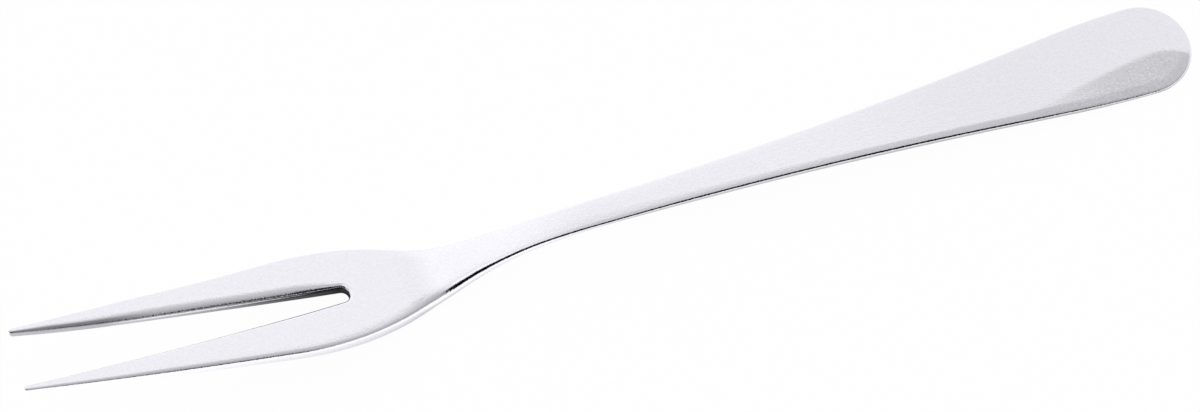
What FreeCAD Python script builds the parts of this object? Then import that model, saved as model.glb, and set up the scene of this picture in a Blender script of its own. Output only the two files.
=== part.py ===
import FreeCAD, Part
import Sketcher
import os
from math import acos, atan2, cos, sin, sqrt

# One-piece snail fork
#
# The fork lies on its back as it would on a table. X runs along it, tines toward -X
# and handle toward +X, Y across it, +Z up. The origin is on the table under the middle
# of its length. Inside the body the tips stand at x = 0 and the far end of the handle
# at x = length, and the body is moved back by half the length. Sizes are millimetres.
#
# The piece is bent strip trimmed to a plan outline: a side profile padded across the
# fork gives the bend and the thickness, a pocket cuts away everything outside the
# plan outline and opens the gap between the tines, and the rims are rounded last.

doc = FreeCAD.newDocument("snail_fork")
V = FreeCAD.Vector
C = Sketcher.Constraint

# Sizes
#
# Plan outline, seen from above: on each side a round tip, a straight tine edge, and
# the hip, neck, grip and flare arcs, each tangent to the next, with one round end
# shared by both sides. The radii of the neck and grip arcs follow from the others.
#
# Side profile: tine, belly and rise arcs and a straight handle, tangent to each other,
# once for the underside and once for the top, with the thickness between them.
sizes = {
    "length": 150.0,
    "head_width": 13.25,
    "hip_at": 35.6,
    "hip_radius": 40.0,
    "neck_width": 3.8,
    "shoulder_run": 30.4,
    "flare_radius": 95.0,
    "end_radius": 6.2,
    "tip_spread": 7.8,
    "tip_width": 0.75,
    "slot_depth": 41.0,
    "slot_root_width": 2.05,
    "slot_corner": 0.9,
    "belly_run": 14.4,
    "belly_radius": 20.4,
    "tine_radius": 460.0,
    "tip_height": 12.2,
    "rise_radius": 65.5,
    "arch_height": 2.85,
    "tip_thickness": 1.0,
    "head_thickness": 2.1,
    "neck_thickness": 1.5,
    "end_thickness": 1.3,
    "edge_round": 0.3,
    "overrun": 1.0,
}
S = sizes
neck_at = S["hip_at"] + S["shoulder_run"]
belly_at = S["hip_at"] + S["belly_run"]
NECK_AT = "(Sizes.hip_at + Sizes.shoulder_run)"
BELLY_AT = "(Sizes.hip_at + Sizes.belly_run)"
END_AT = "(Sizes.length - Sizes.end_radius)"

sheet = doc.addObject("Spreadsheet::Sheet", "Sizes")
for row, (name, value) in enumerate(sizes.items(), start=1):
    sheet.set("A%d" % row, name)
    sheet.set("B%d" % row, str(value))
    sheet.setAlias("B%d" % row, name)
doc.recompute()

# Body
body = doc.addObject("PartDesign::Body", "Fork")
body.Label = "fork"


def new_sketch(name, role, depth):
    """A sketch on one of the body's origin planes, moved along the plane's normal."""
    sketch = body.newObject("Sketcher::SketchObject", name)
    plane = [f for f in body.Origin.OriginFeatures if f.Role == role][0]
    sketch.AttachmentSupport = [(plane, "")]
    sketch.MapMode = "FlatFace"
    sketch.AttachmentOffset = FreeCAD.Placement(V(0, 0, depth), FreeCAD.Rotation())
    return sketch


def size(sketch, constraint, name, text):
    """Add a constraint under a name and drive it from the sheet."""
    number = sketch.addConstraint(constraint)
    sketch.renameConstraint(number, name)
    sketch.setExpression("Constraints." + name, text)


def bearing(centre, point):
    """Direction from a centre to a point."""
    return atan2(point.y - centre.y, point.x - centre.x)


def arc(sketch, centre, radius, start, end):
    """Add the counter-clockwise arc between the directions of two points."""
    circle = Part.Circle(centre, V(0, 0, 1), radius)
    piece = Part.ArcOfCircle(circle, bearing(centre, start), bearing(centre, end))
    return sketch.addGeometry(piece, False)


def line(sketch, start, end):
    """Add a straight line."""
    return sketch.addGeometry(Part.LineSegment(start, end), False)


# Side profile
#
# In this sketch x runs along the fork and y is height. The belly touches the table and
# so does the far end of the handle; both ends run a little past the plan outline.
profile = new_sketch("Profile", "XZ_Plane", 0.0)
sink = S["overrun"] * S["arch_height"] / (S["length"] - neck_at)


def crossing(c1, r1, c2, r2):
    """Where two circles cross, on the left of the way from the first centre to the second."""
    way = c2 - c1
    gap = way.Length
    along = (r1 * r1 - r2 * r2 + gap * gap) / (2 * gap)
    across = sqrt(max(0.0, r1 * r1 - along * along))
    u = way * (1 / gap)
    return c1 + u * along + V(-u.y, u.x, 0) * across


def skin(tag, tip_z, end_z, belly_r, rise_r, belly_text, rise_text):
    """Draw one skin from tip to handle's end, and size it."""
    tip = V(-S["overrun"], tip_z, 0)
    end = V(S["length"] + S["overrun"], end_z, 0)
    belly = V(belly_at, S["belly_radius"], 0)
    tine = crossing(tip, S["tine_radius"], belly, S["tine_radius"] - belly_r)
    deep = S["arch_height"] - S["rise_radius"]
    rise = V(belly.x + sqrt((rise_r + belly_r) ** 2 - (belly.y - deep) ** 2), deep, 0)
    tine_belly = belly + (belly - tine) * (belly_r / (belly - tine).Length)
    belly_rise = belly + (rise - belly) * (belly_r / (rise - belly).Length)
    way = end - rise
    turn = bearing(rise, end) + acos(rise_r / way.Length)
    rise_line = rise + V(cos(turn), sin(turn), 0) * rise_r

    g_tine = arc(profile, tine, S["tine_radius"], tip, tine_belly)
    g_belly = arc(profile, belly, belly_r, tine_belly, belly_rise)
    g_rise = arc(profile, rise, rise_r, rise_line, belly_rise)
    g_line = line(profile, rise_line, end)
    profile.addConstraint(C("Tangent", g_tine, 2, g_belly, 1))
    profile.addConstraint(C("Tangent", g_belly, 2, g_rise, 2))
    profile.addConstraint(C("Tangent", g_rise, 1, g_line, 1))
    size(profile, C("Radius", g_tine, S["tine_radius"]), tag + "_tine_radius", "Sizes.tine_radius")
    size(profile, C("Radius", g_belly, belly_r), tag + "_belly_radius", belly_text)
    size(profile, C("Radius", g_rise, rise_r), tag + "_rise_radius", rise_text)
    size(profile, C("DistanceX", -1, 1, g_belly, 3, belly.x), tag + "_belly_at", BELLY_AT)
    belly_up = C("DistanceY", -1, 1, g_belly, 3, belly.y)
    size(profile, belly_up, tag + "_belly_up", "Sizes.belly_radius")
    below = "Sizes.rise_radius - Sizes.arch_height"
    size(profile, C("DistanceY", g_rise, 3, -1, 1, -deep), tag + "_rise_down", below)
    return g_tine, g_line


under_tine, under_line = skin(
    "under",
    S["tip_height"],
    -sink,
    S["belly_radius"],
    S["rise_radius"],
    "Sizes.belly_radius",
    "Sizes.rise_radius",
)
top_tine, top_line = skin(
    "top",
    S["tip_height"] + S["tip_thickness"],
    S["end_thickness"] - sink,
    S["belly_radius"] - S["head_thickness"],
    S["rise_radius"] + S["neck_thickness"],
    "Sizes.belly_radius - Sizes.head_thickness",
    "Sizes.rise_radius + Sizes.neck_thickness",
)

# The two short ends of the profile
front = V(-S["overrun"], S["tip_height"], 0)
back = V(S["length"] + S["overrun"], -sink, 0)
tip_line = line(profile, front, front + V(0, S["tip_thickness"], 0))
end_line = line(profile, back, back + V(0, S["end_thickness"], 0))
profile.addConstraint(C("Coincident", under_tine, 1, tip_line, 1))
profile.addConstraint(C("Coincident", top_tine, 1, tip_line, 2))
profile.addConstraint(C("Coincident", under_line, 2, end_line, 1))
profile.addConstraint(C("Coincident", top_line, 2, end_line, 2))
profile.addConstraint(C("Vertical", tip_line))
profile.addConstraint(C("Vertical", end_line))
size(profile, C("DistanceX", tip_line, 1, -1, 1, S["overrun"]), "front_run", "Sizes.overrun")
size(profile, C("DistanceY", -1, 1, tip_line, 1, S["tip_height"]), "tip_up", "Sizes.tip_height")
tip_rule = C("DistanceY", tip_line, 1, tip_line, 2, S["tip_thickness"])
size(profile, tip_rule, "tip_thick", "Sizes.tip_thickness")
size(profile, C("DistanceX", -1, 1, end_line, 1, back.x), "back_run", "Sizes.length + Sizes.overrun")
sink_text = "Sizes.overrun * Sizes.arch_height / (Sizes.length - " + NECK_AT + ")"
size(profile, C("DistanceY", end_line, 1, -1, 1, sink), "end_down", sink_text)
end_rule = C("DistanceY", end_line, 1, end_line, 2, S["end_thickness"])
size(profile, end_rule, "end_thick", "Sizes.end_thickness")
doc.recompute()

strip = body.newObject("PartDesign::Pad", "Strip")
strip.Profile = profile
strip.Midplane = True
strip.Length = S["head_width"] + 2 * S["end_radius"]
strip.setExpression("Length", "Sizes.head_width + 2 * Sizes.end_radius")
doc.recompute()
profile.Visibility = False

# Plan outline
#
# The sketch lies under the strip. Its chain of tangent curves is worked out for the
# side y > 0 and drawn again, flipped, for the other side.
head = S["head_width"] / 2
neck = S["neck_width"] / 2
tip_r = S["tip_width"] / 2
hip_r = S["hip_radius"]
flare_r = S["flare_radius"]
end_r = S["end_radius"]
corner_r = S["slot_corner"]
end_x = S["length"] - end_r

# Centres; the neck and grip radii make these arcs tangent to their neighbours.
fall = head - neck
neck_r = (S["shoulder_run"] ** 2 + fall * fall) / (2 * fall) - hip_r
fall = end_r - neck
grip_r = ((end_x - neck_at) ** 2 + fall * fall) / (2 * fall) - flare_r
hip_c = V(S["hip_at"], head - hip_r, 0)
neck_c = V(neck_at, neck + neck_r, 0)
grip_c = V(neck_at, neck + grip_r, 0)
flare_c = V(end_x, end_r - flare_r, 0)
tip_c = V(tip_r, S["tip_spread"] / 2, 0)
corner_c = V(S["slot_depth"] - corner_r, S["slot_root_width"] / 2 - corner_r, 0)
end_c = V(end_x, 0, 0)

# Tangent points
turn = bearing(tip_c, hip_c) + acos((tip_r - hip_r) / (hip_c - tip_c).Length)
away = V(cos(turn), sin(turn), 0)
turn = bearing(tip_c, corner_c) - acos((tip_r + corner_r) / (corner_c - tip_c).Length)
inward = V(cos(turn), sin(turn), 0)
tip_outer = tip_c + away * tip_r
hip_start = hip_c + away * hip_r
hip_neck = hip_c + (neck_c - hip_c) * (hip_r / (hip_r + neck_r))
narrow = V(neck_at, neck, 0)
grip_flare = grip_c + (flare_c - grip_c) * (grip_r / (grip_r + flare_r))
wide = V(end_x, end_r, 0)
tip_inner = tip_c + inward * tip_r
corner_end = corner_c - inward * corner_r
root = V(S["slot_depth"], corner_c.y, 0)

below_all = 5.0
outline = new_sketch("Outline", "XY_Plane", -below_all)


def flank(side, tag):
    """Draw and size one side, side = 1 or -1; returns where it joins the end and the root."""

    def at(p):
        return V(p.x, p.y * side, 0)

    def bow(centre, radius, first, last, left):
        # The chain runs from the root to the end; left marks the arcs that turn left
        # on the upper side.
        if left == (side > 0):
            return arc(outline, at(centre), radius, at(first), at(last)), 1, 2
        return arc(outline, at(centre), radius, at(last), at(first)), 2, 1

    chain = [
        bow(corner_c, corner_r, root, corner_end, True),
        (line(outline, at(corner_end), at(tip_inner)), 1, 2),
        bow(tip_c, tip_r, tip_inner, tip_outer, False),
        (line(outline, at(tip_outer), at(hip_start)), 1, 2),
        bow(hip_c, hip_r, hip_start, hip_neck, False),
        bow(neck_c, neck_r, hip_neck, narrow, True),
        bow(grip_c, grip_r, narrow, grip_flare, True),
        bow(flare_c, flare_r, grip_flare, wide, False),
    ]
    for before, after in zip(chain, chain[1:]):
        outline.addConstraint(C("Tangent", before[0], before[2], after[0], after[1]))
    corner, _, tip, _, hip, waist, grip, flare = [link[0] for link in chain]

    def across(geometry, spot, point, name, text):
        # text is the distance of the point from the middle line
        if (point.y > 0) == (side > 0):
            rule = C("DistanceY", -1, 1, geometry, spot, abs(point.y))
        else:
            rule = C("DistanceY", geometry, spot, -1, 1, abs(point.y))
        size(outline, rule, tag + name, text)

    size(outline, C("Radius", tip, tip_r), tag + "_tip_radius", "Sizes.tip_width / 2")
    size(outline, C("DistanceX", -1, 1, tip, 3, tip_r), tag + "_tip_at", "Sizes.tip_width / 2")
    across(tip, 3, tip_c, "_tip_out", "Sizes.tip_spread / 2")
    size(outline, C("Radius", hip, hip_r), tag + "_hip_radius", "Sizes.hip_radius")
    size(outline, C("DistanceX", -1, 1, hip, 3, hip_c.x), tag + "_hip_at", "Sizes.hip_at")
    across(hip, 3, hip_c, "_hip_in", "Sizes.hip_radius - Sizes.head_width / 2")
    size(outline, C("DistanceX", -1, 1, waist, 3, neck_at), tag + "_waist_at", NECK_AT)
    across(waist, chain[5][2], narrow, "_waist_half", "Sizes.neck_width / 2")
    size(outline, C("DistanceX", -1, 1, grip, 3, neck_at), tag + "_grip_at", NECK_AT)
    size(outline, C("Radius", flare, flare_r), tag + "_flare_radius", "Sizes.flare_radius")
    size(outline, C("DistanceX", -1, 1, flare, 3, end_x), tag + "_flare_at", END_AT)
    size(outline, C("Radius", corner, corner_r), tag + "_corner_radius", "Sizes.slot_corner")
    deep = "Sizes.slot_depth - Sizes.slot_corner"
    size(outline, C("DistanceX", -1, 1, corner, 3, corner_c.x), tag + "_corner_at", deep)
    across(corner, 3, corner_c, "_corner_out", "Sizes.slot_root_width / 2 - Sizes.slot_corner")
    return chain[0][:2], (chain[-1][0], chain[-1][2])


upper_root, upper_end = flank(1, "upper")
lower_root, lower_end = flank(-1, "lower")
round_end = arc(outline, end_c, end_r, V(wide.x, -wide.y, 0), wide)
root_line = line(outline, root, V(root.x, -root.y, 0))
outline.addConstraint(C("Tangent", *upper_end, round_end, 2))
outline.addConstraint(C("Tangent", *lower_end, round_end, 1))
outline.addConstraint(C("Tangent", *upper_root, root_line, 1))
outline.addConstraint(C("Tangent", *lower_root, root_line, 2))
outline.addConstraint(C("PointOnObject", round_end, 3, -1))
size(outline, C("Radius", round_end, end_r), "end_radius", "Sizes.end_radius")
size(outline, C("DistanceX", -1, 1, round_end, 3, end_x), "end_at", END_AT)

# Frame of the stock that is cut away around the outline
room = S["head_width"] + 2 * S["end_radius"]
far = S["length"] + room
corners = [V(-room, -room, 0), V(far, -room, 0), V(far, room, 0), V(-room, room, 0)]
frame = [line(outline, corners[k], corners[(k + 1) % 4]) for k in range(4)]
for k in range(4):
    outline.addConstraint(C("Coincident", frame[k], 2, frame[(k + 1) % 4], 1))
    outline.addConstraint(C("Horizontal" if k % 2 == 0 else "Vertical", frame[k]))
room_text = "Sizes.head_width + 2 * Sizes.end_radius"
far_text = "Sizes.length + " + room_text
size(outline, C("DistanceX", frame[0], 1, -1, 1, room), "frame_left", room_text)
size(outline, C("DistanceY", frame[0], 1, -1, 1, room), "frame_low", room_text)
size(outline, C("DistanceX", -1, 1, frame[2], 1, far), "frame_right", far_text)
size(outline, C("DistanceY", -1, 1, frame[2], 1, room), "frame_high", room_text)
doc.recompute()

trim = body.newObject("PartDesign::Pocket", "Trim")
trim.Profile = outline
trim.Type = "ThroughAll"
trim.Reversed = True
doc.recompute()
outline.Visibility = False


# Rounded rims
#
# A rim runs where an upright wall of the outline meets the top or the underside.
def lean(face):
    """How far a face's normal leans out of the level, at its middle."""
    u0, u1, v0, v1 = face.ParameterRange
    return abs(face.normalAt((u0 + u1) / 2, (v0 + v1) / 2).z)


walls = [f for f in trim.Shape.Faces if lean(f) < 0.01]
skins = [f for f in trim.Shape.Faces if lean(f) >= 0.01]
rims = []
for number, edge in enumerate(trim.Shape.Edges, start=1):
    on_wall = any(edge.isSame(e) for f in walls for e in f.Edges)
    on_skin = any(edge.isSame(e) for f in skins for e in f.Edges)
    if on_wall and on_skin:
        rims.append("Edge%d" % number)

# The thin, narrow tips limit how far every rim can be rounded.
rim = body.newObject("PartDesign::Fillet", "Rims")
rim.Base = (trim, rims)
rim.Radius = min(S["edge_round"], 0.42 * S["tip_thickness"], 0.42 * S["tip_width"])
tip_share = "0.42 * Sizes.tip_thickness; 0.42 * Sizes.tip_width"
rim.setExpression("Radius", "min(Sizes.edge_round; " + tip_share + ")")
body.setExpression("Placement.Base.x", "-Sizes.length / 2")
doc.recompute()

for o in doc.Objects:
    if "Invalid" in o.State or "Error" in o.State:
        raise RuntimeError("%s is %s" % (o.Name, o.State))
for sketch in (profile, outline):
    if not sketch.FullyConstrained:
        raise RuntimeError("%s is not fully constrained" % sketch.Name)
shape = body.Shape
if shape.isNull() or not shape.isValid() or len(shape.Solids) != 1:
    raise RuntimeError("the fork is not one valid solid")
b = shape.optimalBoundingBox(False)
print("x %.2f to %.2f, y %.2f to %.2f" % (b.XMin, b.XMax, b.YMin, b.YMax))
print("z %.3f to %.2f" % (b.ZMin, b.ZMax))
print("volume %.0f, %d faces, rim radius %.3f" % (shape.Volume, len(shape.Faces), rim.Radius))
print("neck radius %.1f, grip radius %.1f" % (neck_r, grip_r))

os.makedirs("parts", exist_ok=True)
shape.exportStep("parts/fork.step")
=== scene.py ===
# %% [markdown]
# # A snail fork in polished stainless steel
#
# A snail fork is one strip of stainless steel. It was cut to a long, narrow outline with two
# tines, bent so that the tines rise from the table and the neck bridges over it, and polished
# all over. There is nothing to assemble, so the whole lesson is about one surface: where it
# runs, how its edges are rounded, and what a mirror-like metal needs around it to look like
# metal.
#
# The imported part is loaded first. It fixes the frame: metres, X along the fork with the tines
# toward -X, Z up, the origin on the table under the middle of the fork.

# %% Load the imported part
import math

import bmesh
import bpy
import numpy as np
from mathutils import Matrix


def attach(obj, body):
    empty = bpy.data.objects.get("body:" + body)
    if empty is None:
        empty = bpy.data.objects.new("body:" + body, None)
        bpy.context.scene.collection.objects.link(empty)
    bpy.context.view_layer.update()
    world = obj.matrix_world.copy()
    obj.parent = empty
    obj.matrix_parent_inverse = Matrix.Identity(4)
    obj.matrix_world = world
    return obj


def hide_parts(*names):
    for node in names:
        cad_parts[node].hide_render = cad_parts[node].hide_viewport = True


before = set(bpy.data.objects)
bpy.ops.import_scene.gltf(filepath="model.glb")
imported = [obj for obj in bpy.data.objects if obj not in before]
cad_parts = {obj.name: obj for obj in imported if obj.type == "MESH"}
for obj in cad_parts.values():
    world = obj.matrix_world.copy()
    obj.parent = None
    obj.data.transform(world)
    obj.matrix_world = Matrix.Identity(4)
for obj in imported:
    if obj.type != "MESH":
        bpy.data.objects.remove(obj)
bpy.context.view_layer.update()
print("nodes:", sorted(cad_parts))

# %% [markdown]
# ## Sizes
#
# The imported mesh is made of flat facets, a few hundredths of a millimetre off the true
# curves. That is plenty for a collision test and far too coarse for a polished surface, where
# every facet would show as a break in a reflection. So the steel is worked out again here,
# from the same sizes in millimetres, as a dense and smooth surface.
#
# Lengths along the fork are counted from the tips, as a maker would measure them. The side
# toward +Y is called the far side and the one toward -Y the near side, as the camera sees them.

# %% Sizes in millimetres
LENGTH = 150.0
HEAD_HALF, HIP_AT, HIP_RADIUS = 6.625, 35.6, 40.0  # half the width over the hips
NECK_HALF, NECK_AT = 1.9, 66.0
FLARE_RADIUS, END_RADIUS = 95.0, 6.2  # the handle's widening sides and its round end
TIP_OUT, TIP_RADIUS = 3.9, 0.375  # a tip's distance from the middle line
SLOT_DEPTH, SLOT_HALF, SLOT_CORNER = 41.0, 1.025, 0.9  # the gap between the tines
BELLY_AT, BELLY_RADIUS = 50.0, 20.4  # the bend that rests on the table
TINE_RADIUS, TIP_HEIGHT = 460.0, 12.2
RISE_RADIUS, ARCH_HEIGHT = 65.5, 2.85  # the bend over the neck
TIP_THICK, HEAD_THICK, NECK_THICK, END_THICK = 0.95, 2.1, 1.5, 1.3
OVERRUN = 1.0  # how far the bent strip is thought to run on past both ends
TINY = 1e-12  # keeps a root off zero

END_AT = LENGTH - END_RADIUS
print("handle's round end is centred", END_AT, "mm from the tips")

# %% [markdown]
# ## The bend
#
# Seen from the side, each skin of the strip is a chain of three arcs and a straight line: the
# tine sweeps down, the belly turns it level on the table, the rise turns it over the neck, and
# the handle runs straight back down to the table. Arcs are used instead of a spline because
# arcs that share a tangent reflect cleanly and never wobble.
#
# Two circles that touch have their point of contact on the line between their centres. That
# one fact gives every joint of the chain. The tine's large circle passes the tip and goes
# round the belly's, just touching it, so its centre is where two circles cross.

# %% Where two circles cross
def crossing(c1, r1, c2, r2):
    """Where two circles cross, on the left of the way from the first centre to the second. With
    d between the centres, that is (r1 r1 - r2 r2 + d d) / (2 d) along the way, and as far
    across it as the circle allows."""
    way = c2 - c1
    gap = np.hypot(*way)
    along = (r1 * r1 - r2 * r2 + gap * gap) / (2 * gap)
    across = math.sqrt(r1 * r1 - along * along)
    u = way / gap
    return c1 + u * along + np.array([-u[1], u[0]]) * across


print("of radius 5 and 6 mm apart:", crossing(np.zeros(2), 5.0, np.array([6.0, 0.0]), 5.0))

# %% The side profile
def skin(tip_z, end_z, belly_r, rise_r):
    """Height of one skin over the distance from the tips.

    The height is that of a circle's lower half on the tine and the belly, of a circle's upper
    half on the rise, and of a straight line on the handle. The contact points between
    neighbouring circles say which of the four counts."""
    tip = np.array([-OVERRUN, tip_z])
    end = np.array([LENGTH + OVERRUN, end_z])
    belly = np.array([BELLY_AT, BELLY_RADIUS])
    tine = crossing(tip, TINE_RADIUS, belly, TINE_RADIUS - belly_r)
    low = ARCH_HEIGHT - RISE_RADIUS
    ahead = math.sqrt((rise_r + belly_r) ** 2 - (BELLY_RADIUS - low) ** 2)
    rise = np.array([BELLY_AT + ahead, low])
    to_belly = belly + (belly - tine) * belly_r / np.hypot(*(belly - tine))
    to_rise = belly + (rise - belly) * belly_r / np.hypot(*(rise - belly))
    way = end - rise
    turn = math.atan2(way[1], way[0]) + math.acos(rise_r / np.hypot(*way))
    to_handle = rise + rise_r * np.array([math.cos(turn), math.sin(turn)])
    slope = (end[1] - to_handle[1]) / (end[0] - to_handle[0])

    def height(x):
        on_tine = tine[1] - np.sqrt(np.maximum(TINE_RADIUS**2 - (x - tine[0]) ** 2, 0))
        on_belly = belly[1] - np.sqrt(np.maximum(belly_r**2 - (x - belly[0]) ** 2, 0))
        on_rise = rise[1] + np.sqrt(np.maximum(rise_r**2 - (x - rise[0]) ** 2, 0))
        on_handle = to_handle[1] + (x - to_handle[0]) * slope
        places = [x < to_belly[0], x < to_rise[0], x < to_handle[0]]
        return np.select(places, [on_tine, on_belly, on_rise], on_handle)

    return height


sink = OVERRUN * ARCH_HEIGHT / (LENGTH - NECK_AT)
under = skin(TIP_HEIGHT, -sink, BELLY_RADIUS, RISE_RADIUS)
over = skin(
    TIP_HEIGHT + TIP_THICK,
    END_THICK - sink,
    BELLY_RADIUS - HEAD_THICK,
    RISE_RADIUS + NECK_THICK,
)
for x in (0.0, 20.0, SLOT_DEPTH, BELLY_AT, NECK_AT, 100.0, LENGTH):
    print("at %5.1f mm: underside %5.2f, top %5.2f" % (x, under(x), over(x)))

# %% [markdown]
# ## The outline
#
# Seen from above, each side runs in arcs and lines that share their tangents: tip, straight
# tine edge, hip, neck, grip, flare and round end. Half the outline is enough, since the other
# half is its mirror image.
#
# The hip and the neck swing in an S from one width to another, and so do the grip and the
# flare. The two radii of such an S add up to a value that its length and width fix, so one
# radius gives the other.

# %% The arcs of the outline
def other_radius(length, width, radius):
    """The second radius of an S: (length squared + width squared) / (2 width), less the first."""
    return (length**2 + width**2) / (2 * width) - radius


def heading(start, end):
    """Direction from one point to another, in degrees."""
    return math.degrees(math.atan2(end[1] - start[1], end[0] - start[0]))


def pointing(degrees):
    """The unit step in a direction: its cosine along the fork and its sine across."""
    return np.array([math.cos(math.radians(degrees)), math.sin(math.radians(degrees))])


NECK_RADIUS = other_radius(NECK_AT - HIP_AT, HEAD_HALF - NECK_HALF, HIP_RADIUS)
GRIP_RADIUS = other_radius(END_AT - NECK_AT, END_RADIUS - NECK_HALF, FLARE_RADIUS)
hip_c = np.array([HIP_AT, HEAD_HALF - HIP_RADIUS])
neck_c = np.array([NECK_AT, NECK_HALF + NECK_RADIUS])
grip_c = np.array([NECK_AT, NECK_HALF + GRIP_RADIUS])
flare_c = np.array([END_AT, END_RADIUS - FLARE_RADIUS])
tip_c = np.array([TIP_RADIUS, TIP_OUT])
corner_c = np.array([SLOT_DEPTH - SLOT_CORNER, SLOT_HALF - SLOT_CORNER])

tine_turn = heading(tip_c, hip_c) + math.degrees(
    math.acos((TIP_RADIUS - HIP_RADIUS) / np.hypot(*(hip_c - tip_c)))
)
slot_turn = heading(tip_c, corner_c) - math.degrees(
    math.acos((TIP_RADIUS + SLOT_CORNER) / np.hypot(*(corner_c - tip_c)))
)
hip_start = hip_c[0] + HIP_RADIUS * math.cos(math.radians(tine_turn))
hip_neck = (hip_c + (neck_c - hip_c) * HIP_RADIUS / (HIP_RADIUS + NECK_RADIUS))[0]
grip_flare = (grip_c + (flare_c - grip_c) * GRIP_RADIUS / (GRIP_RADIUS + FLARE_RADIUS))[0]
print("hip from %.1f to %.1f mm, flare from %.1f mm" % (hip_start, hip_neck, grip_flare))

# %% The outer edge and the gap's edge
def outer_edge(x):
    """The outer edge over the distance from the tips: its distance from the middle line, and
    its slope. Each stretch is a line or the upper or lower half of a circle."""
    tip_x, tip_y = tip_c + TIP_RADIUS * pointing(tine_turn)
    slope = -1 / math.tan(math.radians(tine_turn))
    places = [x < hip_start, x < hip_neck, x < NECK_AT, x < grip_flare]

    def circle(centre, radius, side):
        across = np.sqrt(np.maximum(radius**2 - (x - centre[0]) ** 2, TINY))
        return centre[1] + side * across, -side * (x - centre[0]) / across

    hip, neck = circle(hip_c, HIP_RADIUS, 1), circle(neck_c, NECK_RADIUS, -1)
    grip, flare = circle(grip_c, GRIP_RADIUS, -1), circle(flare_c, FLARE_RADIUS, 1)
    y = np.select(places, [tip_y + (x - tip_x) * slope, hip[0], neck[0], grip[0]], flare[0])
    dy = np.select(places, [slope + 0 * x, hip[1], neck[1], grip[1]], flare[1])
    return y, dy


def slot_edge(x):
    """The edge of the gap between the tines: a straight line that touches tip and corner."""
    way = pointing(slot_turn)
    start = tip_c + way * TIP_RADIUS
    slope = -way[0] / way[1]
    return start[1] + (x - start[0]) * slope, slope + 0 * x


def tine_middle(x):
    """The middle line of a tine, halfway between its two edges."""
    return (outer_edge(x)[0] + slot_edge(x)[0]) / 2


print("a tine is %.2f mm wide 10 mm from its tip" % (outer_edge(10.0)[0] - slot_edge(10.0)[0]))

# %% [markdown]
# The surface is laid out like a ribbon around half the outline. Every point of the outline
# gets two things: the direction that points into the metal, and a foot, which is the place on
# the middle line of the metal where the ribbon from this side meets the ribbon from the other
# side. With those, rounding an edge only needs the distance from the outline. A filled curve
# or a Boolean would give the same outline, but with long thin faces that shade badly.
#
# Around the end of the gap, the middle line of each tine swings in to meet its twin.

# %% Where the points and their feet lie
TINE_STEPS, HEAD_STEPS, HANDLE_STEPS, TIP_STEPS, END_STEPS = 110, 20, 250, 25, 48
TINE_CROWDING = 1.4  # above 1, the points crowd toward the tip, where the metal is smallest
JOIN_AT = 46.5  # where the middle lines of the tines have met

tine_x = TIP_RADIUS + (corner_c[0] - TIP_RADIUS) * np.linspace(0, 1, TINE_STEPS) ** TINE_CROWDING
head_x = np.linspace(corner_c[0], JOIN_AT, HEAD_STEPS)
handle_x = np.linspace(JOIN_AT, END_AT, HANDLE_STEPS)

swing = (head_x - corner_c[0]) / (JOIN_AT - corner_c[0])
tine_feet = np.stack([tine_x, tine_middle(tine_x)], 1)
tine_feet[0] = tip_c
head_feet = np.stack([head_x, tine_middle(head_x[:1]) * np.sqrt(1 - swing**2)], 1)
handle_feet = np.stack([handle_x, 0 * handle_x], 1)
print("tine points %.2f to %.2f mm apart" % (tine_x[1] - tine_x[0], tine_x[-1] - tine_x[-2]))

# %% Half the outline, with its inward directions and feet
def arc_points(centre, radius, start, end, count):
    """Points on a circle between two angles in degrees, and the directions away from its
    centre: the cosine and sine of the angle, times the radius for the points."""
    angle = np.radians(np.linspace(start, end, count))
    away = np.stack([np.cos(angle), np.sin(angle)], 1)
    return centre + radius * away, away


def along_edge(x, edge, side, feet):
    """Points of an edge, the unit direction across it toward the metal, which is down for
    side -1, and their feet."""
    y, slope = edge(x)
    way = np.stack([-slope, np.ones_like(slope)], 1) * side
    inward = way / np.hypot(way[:, 0], way[:, 1])[:, None]
    return np.concatenate([np.stack([x, y], 1), inward, feet], 1)


corner, corner_in = arc_points(corner_c, SLOT_CORNER, 0, 90, HEAD_STEPS)
from_slot = slot_turn + 360 if slot_turn < 0 else slot_turn
tip, tip_out = arc_points(tip_c, TIP_RADIUS, from_slot, tine_turn, TIP_STEPS)
end_c = np.array([END_AT, 0.0])
end, end_out = arc_points(end_c, END_RADIUS, 90, 0, END_STEPS)
root = [SLOT_DEPTH, 0.0, 1.0, 0.0, *head_feet[-1]]

half = np.concatenate(
    [
        [root],
        np.concatenate([corner, corner_in, head_feet[::-1]], 1),
        along_edge(tine_x, slot_edge, 1, tine_feet)[-2:0:-1],
        np.concatenate([tip, -tip_out, np.tile(tip_c, (TIP_STEPS, 1))], 1),
        along_edge(tine_x, outer_edge, -1, tine_feet)[1:-1],
        along_edge(head_x, outer_edge, -1, head_feet)[:-1],
        along_edge(handle_x, outer_edge, -1, handle_feet)[:-1],
        np.concatenate([end, -end_out, np.tile(end_c, (END_STEPS, 1))], 1),
    ]
)
print("half outline:", len(half), "points")

# %% [markdown]
# ## The edges and the crown
#
# No edge of a polished fork is sharp. The press leaves it square, and grinding and polishing
# turn it into a small quarter round. The fork is held to the wheel by hand, so the rounding
# isn't the same all along: it is largest at the back of the head and smallest at the tips,
# the gap's edge is rounder on the far tine than on the near one, and the near side of the
# handle falls away toward its rim more than the far side. The underside is thinned toward its
# edges too, most of all at the neck, so the wall that the eye sees is thinner than the metal.
#
# A Bevel modifier has one width for the whole edge. Here a few values are written down at
# stations along the fork and eased from each to the next, which costs one line for each kind
# of wear and never makes a step.

# %% Values that change along the fork
def smooth(x, start, end):
    """0 before start and 1 after end, with no corner in between: with t the share of the way,
    it is t squared times (3 - 2 t)."""
    t = np.clip((x - start) / (end - start), 0, 1)
    return t * t * (3 - 2 * t)


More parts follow.
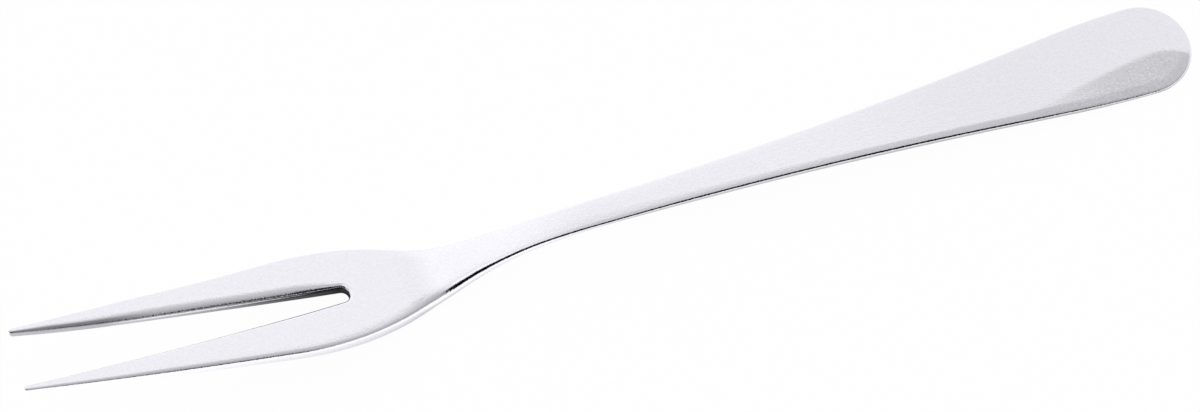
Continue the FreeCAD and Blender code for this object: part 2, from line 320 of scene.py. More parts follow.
# Millimetres from the tips: the tines up to 34, the head up to 56, the neck, and the handle.
STATIONS = np.array([0, 6, 20, 34, 42, 48, 52, 56, 60, 66, 88, 112, 124, 132, 150.0])


def along_fork(x, values):
    """Values given at the stations, eased from each to the next."""
    values = np.array(values, dtype=float)
    k = np.clip(np.searchsorted(STATIONS, x, side="right") - 1, 0, len(STATIONS) - 2)
    share = smooth((x - STATIONS[k]) / (STATIONS[k + 1] - STATIONS[k]), 0, 1)
    return values[k] + (values[k + 1] - values[k]) * share


row = np.arange(len(half))
x_at = half[:, 0]
reach = np.hypot(*(half[:, 4:6] - half[:, 0:2]).T)
past_slot = smooth((row - (HEAD_STEPS + TINE_STEPS - 1)) / TIP_STEPS, 0, 1)


def edges(slot, outer):
    """Values at the stations for the gap's edge and the outer edge, which meet round the tip.
    The gap's last value counts for all the stations behind the gap."""
    slot = list(slot) + [slot[-1]] * (len(STATIONS) - len(slot))
    return along_fork(x_at, slot) * (1 - past_slot) + along_fork(x_at, outer) * past_slot


print("from the outline to the middle line: %.2f to %.2f mm" % (reach.min(), reach.max()))

# %% Roundings, falls and shoulders in millimetres
top_round = edges(
    [0.30, 0.58, 0.90, 0.90, 0.45],
    [0.28, 0.38, 0.55, 0.55, 0.45, 0.60, 0.98, 0.88, 0.62, 0.50, 0.50, 0.48, 0.42, 0.38, 0.38],
)
under_round = edges(
    [0.20, 0.20, 0.25, 0.25, 0.25],
    [0.28, 0.30, 0.30, 0.22, 0.15, 0.15, 0.18, 0.22, 0.25, 0.25, 0.28, 0.30, 0.28, 0.26, 0.26],
)
near_fall = edges(
    [0.04, 0.14, 0.22, 0.20, 0.0],
    [0.02, 0.05, 0.08, 0.10, 0.14, 0.20, 0.12, 0.08, 0.06, 0.06, 0.09, 0.15, 0.18, 0.18, 0.15],
)
far_under = edges(
    [-0.15, -0.20, 0.0, 0.05, 0.05],
    [0.02, 0.05, 0.10, 0.10, 0.05, 0.16, 0.40, 0.60, 0.72, 0.75, 0.46, 0.36, 0.40, 0.42, 0.44],
)
shoulder = edges(
    [0.37, 0.90, 1.20, 1.25, 1.00],
    [0.37, 0.80, 1.20, 1.40, 1.50, 1.60, 1.70, 1.80, 1.80, 1.80, 1.15, 1.00, 1.10, 1.30, 1.50],
)
# How the shoulder bends: 1 falls away in a straight line, 2 in a curve that starts level.
power = edges([1.4], [2, 2, 2, 2, 2, 2, 2, 2, 2, 2, 1.7, 1.5, 1.5, 1.5, 1.5])
print("rounding at the top: %.2f to %.2f mm" % (top_round.min(), top_round.max()))

# %% How the near side and the far side differ
# The far side falls by this share of the near side's fall.
FAR_SHARE = [1, 1, 1, 1, 0.8, 0.6, 0.6, 0.6, 0.6, 0.5, 0.4, 0.1, 0.08, 0.08, 0.08]
NEAR_SLOT_ROUND = [0.28, 0.30, 0.32, 0.38] + [0.45] * 11
NEAR_THICKER = 0.34  # how much less the near side is thinned from below at the handle's end
THICKER_BETWEEN = (126, 138)
MEET_ROWS = 30
# The most that a shoulder takes of the way to the middle line, and a rounding of a shoulder.
SHOULDER_ROOM, TOP_ROOM, UNDER_ROOM = 0.97, 0.9, 0.8


def meet(near, far):
    """Two sides that differ become alike where they meet at the handle's end."""
    middle, apart = (near + far) / 2, smooth(row[::-1], 0, MEET_ROWS)
    return middle + (near - middle) * apart, middle + (far - middle) * apart


near_fall, far_fall = meet(near_fall, near_fall * edges([1.0], FAR_SHARE))
near_under = far_under - NEAR_THICKER * smooth(x_at, *THICKER_BETWEEN)
near_under, far_under = meet(near_under, far_under)

shoulder = np.minimum(shoulder, SHOULDER_ROOM * reach)
top_round = np.minimum(top_round, TOP_ROOM * shoulder)
under_round = np.minimum(under_round, UNDER_ROOM * shoulder)
near_round = np.minimum(along_fork(x_at, NEAR_SLOT_ROUND), TOP_ROOM * shoulder)
on_slot = smooth(row, 0, HEAD_STEPS) * (1 - past_slot)
near_round = top_round + (near_round - top_round) * on_slot
print("deepest fall: near side %.2f mm, far side %.2f mm" % (near_fall.max(), far_fall.max()))

# %% [markdown]
# Across the metal the surface starts at the middle of the underside, runs out to the lower
# rounding, up the wall, over the upper rounding and back to the middle of the top. The
# roundings are quarter ellipses, sampled by angle so that each gets an even share of faces.
# The two sides of the fork get a grid each.
#
# First comes the plan of the ribbon. Going straight in from the edge keeps a rounding as wide
# as it should be, and going straight to the foot lets neighbours meet without crossing. So a
# point does the first near the edge and the second near the middle.

# %% The plan of the ribbon
def lay_out(inset):
    """Points at a distance inside the outline: straight in along the inward direction at
    first, then turning toward the foot."""
    straight = half[:, None, 0:2] + half[:, None, 2:4] * inset[..., None]
    way = half[:, None, 4:6] - half[:, None, 0:2]
    direct = half[:, None, 0:2] + way * (inset / reach[:, None])[..., None]
    turn = smooth(inset / reach[:, None], 0.0, 1.0)[..., None]
    return straight * (1 - turn) + direct * turn


print("1 mm inside the round end:", lay_out(np.ones((len(half), 1)))[-1, 0].round(2))

# %% One skin of the metal
FLAT_STEPS, SHOULDER_STEPS, ROUND_STEPS, LOW_STEPS = 18, 12, 13, 5


def skin_grid(height, sign, rounding, drop, depth, flat_steps, shoulder_steps):
    """One skin from the middle of the metal to the top of the wall.

    With i the distance from the outline, w the shoulder's width and f its depth, the skin
    falls by f (1 - i / w)^p on the shoulder. On the rounding of radius r the angle a runs from
    0 to 90 degrees: i = r (1 - sin a), and the skin falls by another r (1 - cos a)."""
    flat = np.linspace(0, 1, flat_steps, endpoint=False)[None, :]
    slope = np.linspace(0, 1, shoulder_steps, endpoint=False)[None, :]
    angle = np.radians(np.linspace(0, 90, ROUND_STEPS))[None, :]
    w, r, middle = shoulder[:, None], rounding[:, None], reach[:, None]
    inset = [middle + (w - middle) * flat, w + (r - w) * slope, r * (1 - np.sin(angle))]
    inset = np.concatenate(inset, 1)
    down = np.concatenate([0 * flat, 0 * slope, 1 - np.cos(angle)], 1) * drop[:, None]
    share = np.clip(1 - inset / w, 0, 1)
    plan = lay_out(inset)
    z = height(plan[..., 0]) - sign * (depth[:, None] * share ** power[:, None] + down)
    return np.concatenate([plan, z[..., None]], 2)


print("top skin: %d faces across" % (FLAT_STEPS + SHOULDER_STEPS + ROUND_STEPS - 1))

# %% The whole section, and a grid for each side
WALL_STEPS = 2
ROOM_ON_WALL = 0.97  # the most of a thin edge that both roundings may take together


def section_grid(fall, under_fall, rounding):
    """From the middle of the underside, round the lower edge, up the wall and over the top.
    Where the metal is thin, both roundings are squeezed so that they leave a little wall."""
    edge_thick = over(x_at) - under(x_at) - fall - under_fall
    squeeze = np.minimum(1.0, ROOM_ON_WALL * edge_thick / (rounding + under_round))
    top = skin_grid(over, 1, rounding, rounding * squeeze, fall, FLAT_STEPS, SHOULDER_STEPS)
    low_drop = under_round * squeeze
    low = skin_grid(under, -1, under_round, low_drop, under_fall, LOW_STEPS, LOW_STEPS)
    share = np.linspace(0, 1, WALL_STEPS + 2)[None, 1:-1, None]
    wall = low[:, -1:] + (top[:, -1:] - low[:, -1:]) * share
    return np.concatenate([low, wall, top[:, ::-1]], 1)


far_grid = section_grid(far_fall, far_under, top_round)
near_grid = section_grid(near_fall, near_under, near_round) * [1, -1, 1]
print("columns from the underside's middle to the top's middle:", far_grid.shape[1])

# %% [markdown]
# ## The flat at the handle's end
#
# At its end, the near side of the handle was held a little aslant to the grinding wheel. That
# left a shallow flat, with a border that runs up from the edge in a long arch and then along
# the handle. The flat falls away from its border by a few degrees. The outline was taken in a
# little on that side as well.
#
# A cut with a Boolean would leave a hard line and a row of thin faces. Lowering the points of
# the grid by a depth that bends softly at the border keeps the grid as it is.

# %% Grind the flat
FLAT_TILT, FLAT_SOFT = 0.105, 0.12  # slope past the border, and the width of the bend
BORDER_Y, ARCH_WIDE, ARCH_LONG, ARCH_POWER = -0.9, 3.6, 19.0, 1.35
ARCH_AT, ARCH_TURN = 145.0, 0.09  # past ARCH_AT the border turns down to the rim
FLAT_STARTS = [(0.35, 120, 128), (0.65, 128, 140)]  # share of the tilt, gained between
NEAR_NARROW, NARROW_BETWEEN = 0.35, (126, 140)
FIRST_TOP = 2 * LOW_STEPS + ROUND_STEPS + WALL_STEPS  # the grid's first column above the wall


def end_flat(x, y):
    """Depth of the flat. s is the distance past the border, and the depth is t (s + root(s s +
    w w)) / 2: nothing above the border, a slope of t below it, and a bend of width w between."""
    border = BORDER_Y - ARCH_WIDE * (np.clip(ARCH_AT - x, 0, None) / ARCH_LONG) ** ARCH_POWER
    border -= ARCH_TURN * np.clip(x - ARCH_AT, 0, None) ** 2
    past = border - y
    tilt = FLAT_TILT * sum(share * smooth(x, start, end) for share, start, end in FLAT_STARTS)
    return tilt * (past + np.sqrt(past**2 + FLAT_SOFT**2)) / 2


def grind(grid):
    """Takes the flat off the top of one side and lets the wall end at the new top edge."""
    top = grid[:, FIRST_TOP:]
    top[..., 2] -= end_flat(top[..., 0], top[..., 1])
    rise = np.linspace(0, 1, WALL_STEPS + 2)[None, 1:-1]
    low_z, top_z = grid[:, FIRST_TOP - WALL_STEPS - 1, 2], top[:, 0, 2]
    wall = low_z[:, None] + (top_z - low_z)[:, None] * rise
    grid[:, FIRST_TOP - WALL_STEPS : FIRST_TOP, 2] = wall


at_end = smooth(near_grid[..., 0], *NARROW_BETWEEN)
at_rim = smooth(-near_grid[..., 1] / END_RADIUS, 0, 1)
near_grid[..., 1] += NEAR_NARROW * at_end * at_rim
grind(near_grid)
grind(far_grid)
print("the flat is %.2f mm deep at (140, -5)" % end_flat(np.array(140.0), np.array(-5.0)))

# %% [markdown]
# ## The far tine
#
# The two tines aren't quite twins. The far one was ground a little less: near its tip it is
# broader, and it ends half a millimetre short of the other.
#
# In Edit Mode that would be a pull with Proportional Editing. The same pull as a formula moves
# the points outward and back by an amount that fades away along the tine.

# %% Make the far tine broader and shorter
FAR_SHORT, FAR_BROAD = 0.5, 0.20
SHORT_FADES, BROAD_GROWS, BROAD_FADES = (0, 12), (0, 4), (14, 26)  # between, mm from the tips
TINE_HALF = 1.2  # how far from a tine's middle line the broadening is full
GAP_SIDE = -0.3  # the most of it that goes toward the gap instead
STRAIGHT = (0.4, 40)  # where a tine's middle line runs straight

far_x, far_y = far_grid[..., 0].copy(), far_grid[..., 1].copy()
outward = (far_y - tine_middle(np.clip(far_x, *STRAIGHT))) / TINE_HALF
near_tip = smooth(far_x, *BROAD_GROWS) * (1 - smooth(far_x, *BROAD_FADES))
far_grid[..., 1] += FAR_BROAD * np.clip(outward, GAP_SIDE, 1) * near_tip
far_grid[..., 0] += FAR_SHORT * (1 - smooth(far_x, *SHORT_FADES))
for name, grid in [("far", far_grid), ("near", near_grid)]:
    print("%s tine begins at %.2f mm" % (name, grid[..., 0].min()))

# %% [markdown]
# ## One closed mesh
#
# The grids become a mesh: four neighbours make a face, the mirrored half gets its faces the
# other way round so that they still look outward, and points that fall on the same place are
# merged, which closes the seams along the middle lines and the poles at tips and end. An edge
# with one face only would be a hole, so they are counted.

# %% The mesh
SAME_PLACE, NO_LENGTH = 2e-7, 1e-8  # metres


def fork_mesh(name, sides):
    """Joins both sides' grids. Point (row, column) of a side is number row times columns plus
    column, so a face takes a number, the next, and the same two one row on."""
    rows, columns = sides[0].shape[:2]
    points = np.concatenate([side.reshape(-1, 3) for side in sides])
    points = (points - [LENGTH / 2, 0, 0]) / 1000
    first = (np.arange(rows - 1)[:, None] * columns + np.arange(columns - 1)[None, :]).ravel()
    quads = np.stack([first, first + 1, first + columns + 1, first + columns], 1)
    quads = np.concatenate([quads, quads[:, ::-1] + rows * columns])
    mesh = bpy.data.meshes.new(name)
    mesh.from_pydata(points.tolist(), [], quads.tolist())
    shape = bmesh.new()
    shape.from_mesh(mesh)
    bmesh.ops.remove_doubles(shape, verts=shape.verts, dist=SAME_PLACE)
    bmesh.ops.dissolve_degenerate(shape, edges=shape.edges, dist=NO_LENGTH)
    bmesh.ops.recalc_face_normals(shape, faces=shape.faces)
    open_edges = sum(1 for e in shape.edges if not e.is_manifold)
    volume = shape.calc_volume(signed=True) * 1000**3
    for face in shape.faces:
        face.smooth = True
    shape.to_mesh(mesh)
    shape.free()
    print("%s: %d faces, %d open edges" % (name, len(mesh.polygons), open_edges))
    print("%s: %.0f cubic mm" % (name, volume))
    return mesh


steel_mesh = fork_mesh("fork_steel", [far_grid, near_grid])
steel = bpy.data.objects.new("fork_steel", steel_mesh)
bpy.context.scene.collection.objects.link(steel)
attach(steel, "root")
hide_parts("fork")

# %% [markdown]
# ## The steel
#
# Cutlery like this is stainless steel, punched from sheet, ground on a belt and polished on
# cloth wheels with ever finer compounds. To the eye that gives almost a mirror: it shows the
# bright and dark parts of the studio, softened by hair-fine lines along the fork, by a very
# slight orange peel, and by a fine sandy grain of lighter and darker specks.
#
# A picture of scratches would have to be unwrapped along the bent tines. Noise in Object
# coordinates has the same size everywhere and needs no unwrapping, so all the grain is noise.

# %% Colours, and one helper for nodes
def linear(code):
    """An sRGB hex colour as linear red, green, blue and alpha. A channel up to 0.04045 is
    divided by 12.92, and a larger one is ((channel + 0.055) / 1.055) to the power 2.4."""
    srgb = np.array([int(code[i : i + 2], 16) for i in (1, 3, 5)]) / 255
    low, high = srgb / 12.92, ((srgb + 0.055) / 1.055) ** 2.4
    return (*np.where(srgb <= 0.04045, low, high).tolist(), 1.0)


def node(tree, kind, inputs=None, **settings):
    """Adds one node. settings are its properties. inputs are numbers, colours, or outputs of
    other nodes, which are linked."""
    made = tree.nodes.new("ShaderNode" + kind)
    for name, value in settings.items():
        setattr(made, name, value)
    for key, value in (inputs or {}).items():
        if isinstance(value, bpy.types.NodeSocket):
            tree.links.new(value, made.inputs[key])
        else:
            made.inputs[key].default_value = value
    return made


def blank(owner):
    """Turns on the nodes of a material or a world, and takes the usual ones away."""
    owner.use_nodes = True
    owner.node_tree.nodes.clear()
    return owner.node_tree


STEEL_TINT = linear("#E3E2E8")
print("steel tint, linear:", [round(channel, 3) for channel in STEEL_TINT])

# %% [markdown]
# Real polishing lines and specks are a few hundredths of a millimetre wide, finer than a
# pixel of the picture, which covers an eighth of a millimetre. They are drawn as coarse as
# they need to show: lines 0.36 mm apart and 3 mm long, peel of 0.24 mm and specks of 0.3 mm.
#
# Lines and peel are a bump, since they bend what the steel mirrors. The specks change the
# colour instead, because on the plain parts a bump has only white to mirror and can't show.

# %% The grain: lines, peel and specks
LINES_PER_MM, LINE_STRETCH = 2.8, 0.12
PEEL_PER_MM, SPECKS_PER_MM = 4.2, 3.3
LINE_SHARE = 0.15  # height of the lines for a peel of 1
GRAIN_HEIGHT, GRAIN_STRENGTH = 0.014, 0.90

material = bpy.data.materials.new("polished_stainless_steel")
tree = blank(material)
place = node(tree, "TexCoord").outputs["Object"]
stretched = node(tree, "Mapping", {"Vector": place, "Scale": (LINE_STRETCH, 1.0, 1.0)})
noise = {}
for name, where, per_mm, detail in [
    ("lines", stretched.outputs[0], LINES_PER_MM, 2.0),
    ("peel", place, PEEL_PER_MM, 1.0),
    ("specks", place, SPECKS_PER_MM, 2.0),
]:
    pattern = {"Vector": where, "Scale": 1000 * per_mm, "Detail": detail}
    noise[name] = node(tree, "TexNoise", pattern).outputs[0]
    print("%s: %.2f mm each" % (name, 1 / per_mm))
both = {0: noise["lines"], 1: LINE_SHARE, 2: noise["peel"]}
grain = node(tree, "Math", both, operation="MULTIPLY_ADD").outputs[0]
height = {"Height": grain, "Strength": GRAIN_STRENGTH, "Distance": GRAIN_HEIGHT / 1000}
bump = node(tree, "Bump", height).outputs[0]

# %% [markdown]
# The finish isn't the same all over. The flat at the handle's end was polished less after
# grinding, so its grain is coarser. The rest is painted shade: the handle is drawn a little
# darker than the head, the walls of the gap grey and darkest at its narrow end, a band on the
# far tine's gap edge near its tip dark, and the side walls of the neck and handle darker too.
#
# These places could be painted as vertex colours or split off as materials of their own. A
# mask that reads the position and the direction of the surface has a soft border at any
# resolution, and stays one table of plain numbers. Two of the readings are slanted, so that
# one number says on which side of a line a place lies.

# %% What the masks read
BORDER_LEAN = -0.2  # slope of the flat's border, toward the near side
TINE_LEAN = 0.052  # slope of a line from a tip to just outside the gap's end

at = node(tree, "SeparateXYZ", {"Vector": place}).outputs
normal = node(tree, "TexCoord").outputs["Normal"]
upward = node(tree, "SeparateXYZ", {"Vector": normal}).outputs["Z"]
aside = node(tree, "Math", {0: at["Y"]}, operation="ABSOLUTE").outputs[0]
level = node(tree, "Math", {0: upward}, operation="ABSOLUTE").outputs[0]
reads = {"x": at["X"], "y": at["Y"], "upward": upward, "level": level}
for name, lean, across in [("past", BORDER_LEAN, at["Y"]), ("beside", TINE_LEAN, aside)]:
    slanted = {0: at["X"], 1: lean, 2: across}
    reads[name] = node(tree, "Math", slanted, operation="MULTIPLY_ADD").outputs[0]
print("masks can read:", sorted(reads))

# %% The table of masks, and the places that they make together
# What the mask reads, where it starts and ends, and its values there. x, y, past and beside
# are in millimetres. upward and level are 1 on a face that lies flat and 0 on a wall.
MASKS = {
    "end of the handle": ("x", 46, 62, 0, 1),
    "past the border": ("past", -14.7, -15.9, 0, 1),
    "short of the rim": ("x", 73.5, 71.0, 0, 1),
    # painted shade: the handle's brightness is drawn down to 0.93 between 97 and 127 mm from the
    # tips
    "handle": ("x", 22, 52, 1, 0.93),
    # painted shade: the walls of the gap lose 38 % of their brightness toward the tips and 80 %
    # near the root
    "wall": ("upward", 0.50, 0.20, 0, 1),
    "within the gap": ("beside", -0.20, -0.45, 0, 1),
    "short of the root": ("x", -33.4, -33.7, 0, 1),
    "narrowing": ("x", -52, -37, 0.38, 0.80),
    # painted shade: the far tine's rounding along the gap loses up to half its brightness over
    # its last 19 mm
    "rounding": ("upward", 0.97, 0.85, 0, 1),
    "along the gap": ("beside", 0.25, -0.15, 0, 1),
    "far side": ("y", 0, 0.5, 0, 1),
    "toward the tip": ("x", -56, -64, 0, 0.5),
    # painted shade: upright walls from behind the head to the handle's end lose up to 40 % of
    # their brightness
    "upright": ("level", 0.60, 0.25, 0, 1),
    "behind the head": ("x", -12, 6, 0, 0.40),
}
PLACES = {
    "ground flat": ["end of the handle", "past the border", "short of the rim"],
    "gap walls": ["wall", "within the gap", "short of the root", "narrowing"],
    "far tine's edge": ["rounding", "along the gap", "far side", "toward the tip"],
    "side walls": ["upright", "behind the head"],
}
print(len(MASKS), "masks make", len(PLACES), "places")

# %% From the tables to nodes
mask = {}
for name, (read, start, end, first, last) in MASKS.items():
    unit = 1 if read in ("upward", "level") else 0.001
    limits = {0: reads[read], 1: start * unit, 2: end * unit, 3: first, 4: last}
    mask[name] = node(tree, "MapRange", limits, interpolation_type="SMOOTHSTEP").outputs[0]
share_of = {}
for name, parts in PLACES.items():
    share_of[name] = mask[parts[0]]
    for part in parts[1:]:
        pair = {0: share_of[name], 1: mask[part]}
        share_of[name] = node(tree, "Math", pair, operation="MULTIPLY").outputs[0]
print("nodes so far:", len(tree.nodes))

# %% [markdown]
# The noise runs from about 0.25 to 0.75. So a depth of 0.16 makes the steel at most 4 %
# lighter or darker, and the 0.52 of the ground flat at most 13 %.
#
# A metal's base colour is how much of each colour it mirrors, so the brightness of a place,
# its grain times its painted shade, is one factor on the tint. Roughness and metallic are plain
# numbers on the shader. Polished steel is near 0.1, and the IOR of a metal keeps its default.

# %% Brightness, and the finished steel
SPECK_DEPTH, GROUND_DEPTH = 0.16, 0.36
ROUGHNESS = 0.12

ground = {0: share_of["ground flat"], 1: GROUND_DEPTH, 2: SPECK_DEPTH}
depth = node(tree, "Math", ground, operation="MULTIPLY_ADD").outputs[0]
speck = node(tree, "Math", {0: noise["specks"], 1: 0.5}, operation="SUBTRACT").outputs[0]
speck = {0: speck, 1: depth, 2: 1.0}
bright = node(tree, "Math", speck, operation="MULTIPLY_ADD").outputs[0]

# painted shade: the deepest of the three shaded places is taken off the brightness
painted_shade = share_of["gap walls"]
for name in ("far tine's edge", "side walls"):
    painted_shade = node(tree, "Math", {0: painted_shade, 1: share_of[name]}, operation="MAXIMUM").outputs[0]
unshaded_share = node(tree, "Math", {0: 1.0, 1: painted_shade}, operation="SUBTRACT").outputs[0]
# bright is the specks' brightness times the painted shade of the handle and of those places
for factor in (mask["handle"], unshaded_share):
    bright = node(tree, "Math", {0: bright, 1: factor}, operation="MULTIPLY").outputs[0]
tint = node(tree, "VectorMath", {0: STEEL_TINT[:3], "Scale": bright}, operation="SCALE")
finish = {
    "Base Color": tint.outputs[0],
    "Metallic": 1.0,
    "Roughness": ROUGHNESS,
    "Normal": bump,
}
shader = node(tree, "BsdfPrincipled", finish)
node(tree, "OutputMaterial", {"Surface": shader.outputs[0]})
steel_mesh.materials.append(material)
print(material.name, "has", len(tree.nodes), "nodes")

# %% [markdown]
# ## The floor
#
# The fork lies on a plain white table top, lit so brightly that the picture shows no more than
# white. Brighter lamps would do that too, but would wash out the steel with it. So the light
# on the object stays plain, and the floor itself is white to the camera and in the steel.
#
# What a fork mirrors of its own floor matters most along its lower edges: close under the
# metal the floor lies in shade, and that shade is the thin dark line along the neck and the
# handle. Ambient Occlusion measures how open the floor is to the air within a distance, so
# the floor that is mirrored gets darker toward the fork. The rest stays a matt paper white
# that keeps the object's soft shadow.

# %% The floor
FLOOR_REACH = 6.0
SEEN_WHITE, MIRRORED_WHITE = 0.97, 0.8  # share that shines by itself, seen and mirrored
SHADE_WITHIN = 0.020
SHUT, OPEN, OPEN_LEVEL = 0.26, 0.82, 1.45  # from dark where shut in to bright where open

material = bpy.data.materials.new("white_table")
tree = blank(material)
ray = node(tree, "LightPath").outputs
seen = node(tree, "Math", {0: ray["Is Camera Ray"], 1: SEEN_WHITE}, operation="MULTIPLY")
mirrored = node(tree, "Math", {0: ray["Is Glossy Ray"], 1: MIRRORED_WHITE}, operation="MULTIPLY")
share = node(tree, "Math", {0: seen.outputs[0], 1: mirrored.outputs[0]})
open_air = node(tree, "AmbientOcclusion", {"Distance": SHADE_WITHIN}).outputs["AO"]
lit = node(tree, "MapRange", {0: open_air, 1: SHUT, 2: OPEN, 3: 0.0, 4: OPEN_LEVEL}).outputs[0]
strength = node(tree, "Mix", {0: ray["Is Glossy Ray"], 2: 1.0, 3: lit}, data_type="FLOAT")
paper = node(tree, "BsdfDiffuse", {"Color": linear("#F4F4F6")})
white = node(tree, "Emission", {"Color": (1, 1, 1, 1), "Strength": strength.outputs[0]})
both = {0: share.outputs[0], 1: paper.outputs[0], 2: white.outputs[0]}
surface = node(tree, "MixShader", both).outputs[0]
node(tree, "OutputMaterial", {"Surface": surface})

floor_mesh = bpy.data.meshes.new("floor")
corners = [(FLOOR_REACH * x, FLOOR_REACH * y, 0) for x, y in [(-1, -1), (1, -1), (1, 1), (-1, 1)]]
floor_mesh.from_pydata(corners, [], [(0, 1, 2, 3)])
floor_mesh.materials.append(material)
floor = bpy.data.objects.new("floor", floor_mesh)
bpy.context.scene.collection.objects.link(floor)
print("floor:", 2 * FLOOR_REACH, "m wide")

# %% [markdown]
# ## The camera
#
# The photograph was taken with a long lens from 62 degrees above the table, with the fork
# turned by not quite 20 degrees. Both angles were found by fitting this view to the outline,
# the gap's edges and the wall. A Track To constraint could aim the camera. Its three axes are
# worked out instead, because the studio below is laid out along the same directions.

# %% The camera
VIEW_ELEVATION, FORK_TURN = 62.0, 19.632
DISTANCE, PIXELS_PER_MM, IMAGE_WIDTH = 700.0, 8.23, 1200
TARGET = np.array([73.93 - LENGTH / 2, 2.604, 0.0])  # the point in the middle of the picture
SENSOR = 36.0

lift, turn = math.radians(VIEW_ELEVATION), math.radians(FORK_TURN)
right = np.array([math.cos(turn), -math.sin(turn), 0])
front = -np.array([math.sin(turn), math.cos(turn), 0])
away = -math.cos(lift) * front - [0, 0, math.sin(lift)]
up = -math.sin(lift) * front + [0, 0, math.cos(lift)]

camera_data = bpy.data.cameras.new("camera")
camera_data.sensor_width = SENSOR
camera_data.lens = SENSOR * PIXELS_PER_MM * DISTANCE / IMAGE_WIDTH
camera_data.clip_start, camera_data.clip_end = 0.01, 50.0
camera = bpy.data.objects.new("camera", camera_data)
bpy.context.scene.collection.objects.link(camera)
stand = (TARGET - DISTANCE * away) / 1000
axes = np.stack([right, up, -away, stand], 1)
camera.matrix_world = Matrix([*axes.tolist(), [0, 0, 0, 1]])
bpy.context.scene.camera = camera
print("lens %.1f mm at %.0f mm" % (camera_data.lens, DISTANCE))

# %% [markdown]
# ## The studio
#
# Polished steel has no look of its own: it shows what stands around it. Around this fork that
# is a white tent, dimmer to the right and far out at both sides, with a dark gap low in front.
# Cards and lamps could build it, but each would lie at another angle for each part of the
# fork. A world has only directions, so a card is one place on its sky, and its edge is as
# soft as wanted.
#
# Every direction gets a lean, an across and an azimuth. The lean is 0 overhead, 90 degrees at
# the horizon in front and -90 at the one behind. Across is how far it lies to the right. The
# azimuth is the compass angle, 0 in front and 90 at the right. Four colour ramps say how
# bright the studio is for each lean: to the left, to the right, and far out on both sides.

# %% How bright the studio is, by lean
WORLD_LEVEL = 1.22
RAMPS = {
    "left": [
        (-180, 0.99), (-70, 1.00), (-45, 1.04), (-28, 1.04), (-18, 0.99), (-8, 0.87),
        (6, 0.87), (14, 1.05), (38, 1.05), (43, 0.0), (86, 0.0), (91, 1.0), (180, 1.0),
    ],
    "right": [
        (-180, 0.99), (-70, 0.97), (-55, 0.93), (-33, 0.92), (-30, 0.875), (-27, 0.83),
        (-23, 0.71), (-19, 0.65), (-15, 0.61), (-5, 0.58), (4, 0.51), (12, 0.53),
        (18, 0.62), (38, 0.62), (43, 0.0), (86, 0.0), (91, 1.0), (180, 1.0),
    ],
    "far right": [
        (-180, 0.99), (-60, 0.96), (-36, 0.89), (-26, 0.80), (-10, 0.63), (30, 0.50),
        (45, 0.42), (80, 0.42), (90, 1.0), (180, 1.0),
    ],
    "far left": [
        (-180, 0.99), (-60, 0.98), (-20, 0.86), (20, 0.70), (45, 0.52), (84, 0.46),
        (92, 1.0), (180, 1.0),
    ],
}
for name, stops in RAMPS.items():
    print("%s: %.2f to %.2f" % (name, min(s[1] for s in stops), max(s[1] for s in stops)))

# %% The angles of a direction
world = bpy.data.worlds.new("studio")
bpy.context.scene.world = world
tree = blank(world)
direction = node(tree, "TexCoord").outputs["Generated"]
to = {}
for name, axis in {"front": front, "right": right, "sky": np.array([0, 0, 1])}.items():
    pair = {0: direction, 1: tuple(axis)}
    to[name] = node(tree, "VectorMath", pair, operation="DOT_PRODUCT").outputs["Value"]
angle = {}
for name, operation, sides in [
    ("lean", "ARCTAN2", ("front", "sky")),
    ("azimuth", "ARCTAN2", ("right", "front")),
    ("across", "ARCSINE", ("right",)),
]:
    inputs = {number: to[side] for number, side in enumerate(sides)}
    angle[name] = node(tree, "Math", inputs, operation=operation).outputs[0]
turned = {0: angle["lean"], 1: -math.pi, 2: math.pi, 3: 0.0, 4: 1.0}
turned = node(tree, "MapRange", turned).outputs[0]
print("a direction has", sorted(angle))

# %% The ramps
ramp = {}
for name, stops in RAMPS.items():
    made = node(tree, "ValToRGB", {0: turned})
    elements = made.color_ramp.elements
    for number, (degrees, level) in enumerate(stops):
        position = (degrees + 180) / 360
        stop = elements[number] if number < 2 else elements.new(position)
        stop.position = position
        stop.color = (level, level, level, 1)
    ramp[name] = made.outputs[0]
print("studio:", len(ramp), "ramps with", sum(map(len, RAMPS.values())), "stops")

# %% [markdown]
# The ramps are laid over one another like sheets of paper, each with a soft border. A pale
# panel hangs behind on the right. Toward the front the dimmer right side begins further out,
# so its border bends there.
#
# To the camera the world is plain white, the white that the table top runs out into.

# %% The borders
BEND_FROM, BEND_TO, BEND = -20, 5, 11  # between these leans the border moves out by this
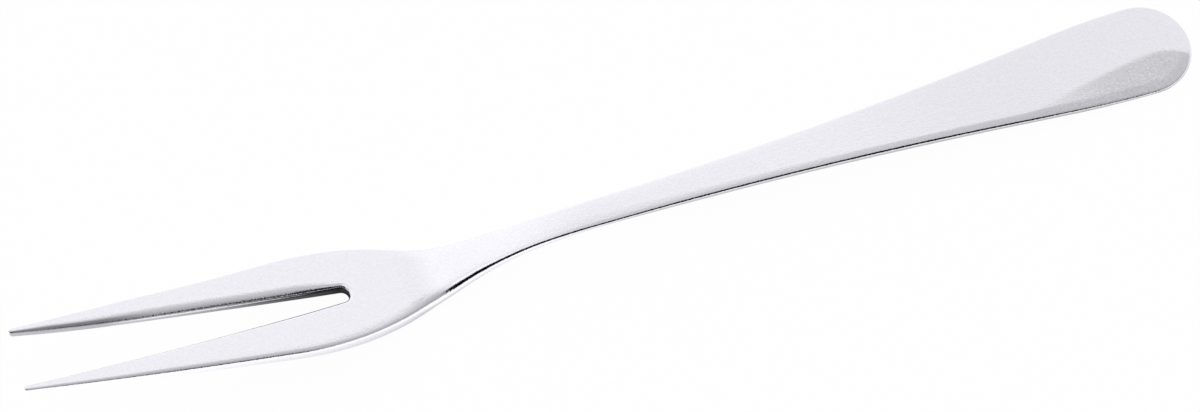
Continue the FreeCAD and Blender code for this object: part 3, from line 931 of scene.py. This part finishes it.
# The angle that a border reads, and where it starts and ends, in degrees.
BORDERS = {
    "right": ("bent", -14, 12),
    "panel's side": ("across", 3.5, 8),
    "panel's foot": ("lean", -26, -31),
    "corner's side": ("across", 22, 28),
    "corner's front": ("azimuth", 34, 39),
    "far left": ("across", -26, -38),
}

bend = {0: angle["lean"], 1: math.radians(BEND_FROM), 2: math.radians(BEND_TO)}
bend.update({3: 0.0, 4: math.radians(BEND)})
bend = node(tree, "MapRange", bend, interpolation_type="SMOOTHSTEP").outputs[0]
bent = {0: angle["across"], 1: bend}
angle["bent"] = node(tree, "Math", bent, operation="SUBTRACT").outputs[0]
border = {}
for name, (read, start, end) in BORDERS.items():
    limits = {0: angle[read], 1: math.radians(start), 2: math.radians(end), 3: 0.0, 4: 1.0}
    border[name] = node(tree, "MapRange", limits, interpolation_type="SMOOTHSTEP").outputs[0]
panel = {0: border["panel's side"], 1: border["panel's foot"]}
panel = node(tree, "Math", panel, operation="MULTIPLY").outputs[0]
corner = {0: border["corner's side"], 1: border["corner's front"]}
corner = node(tree, "Math", corner, operation="MINIMUM").outputs[0]
print(len(border), "borders")

# %% The sheets laid over one another
PANEL = (0.925, 0.925, 0.925, 1)
WHITE = (1, 1, 1, 1)

by_camera = node(tree, "LightPath").outputs["Is Camera Ray"]
shown = ramp["left"]
for share, sheet in [
    (border["right"], ramp["right"]),
    (panel, PANEL),
    (corner, ramp["far right"]),
    (border["far left"], ramp["far left"]),
    (by_camera, WHITE),
]:
    layers = {0: share, 6: shown, 7: sheet}
    shown = node(tree, "Mix", layers, data_type="RGBA").outputs[2]
strength = {0: by_camera, 2: WORLD_LEVEL, 3: 1.0}
strength = node(tree, "Mix", strength, data_type="FLOAT").outputs[0]
back = node(tree, "Background", {"Color": shown, "Strength": strength})
node(tree, "OutputWorld", {"Surface": back.outputs[0]})
print("studio:", len(tree.nodes), "nodes")

# %% [markdown]
# ## The end
#
# The Standard view shows a colour as it is written, where others bend bright tones, which
# would turn the white ground grey.

# %% View
bpy.context.scene.view_settings.view_transform = "Standard"
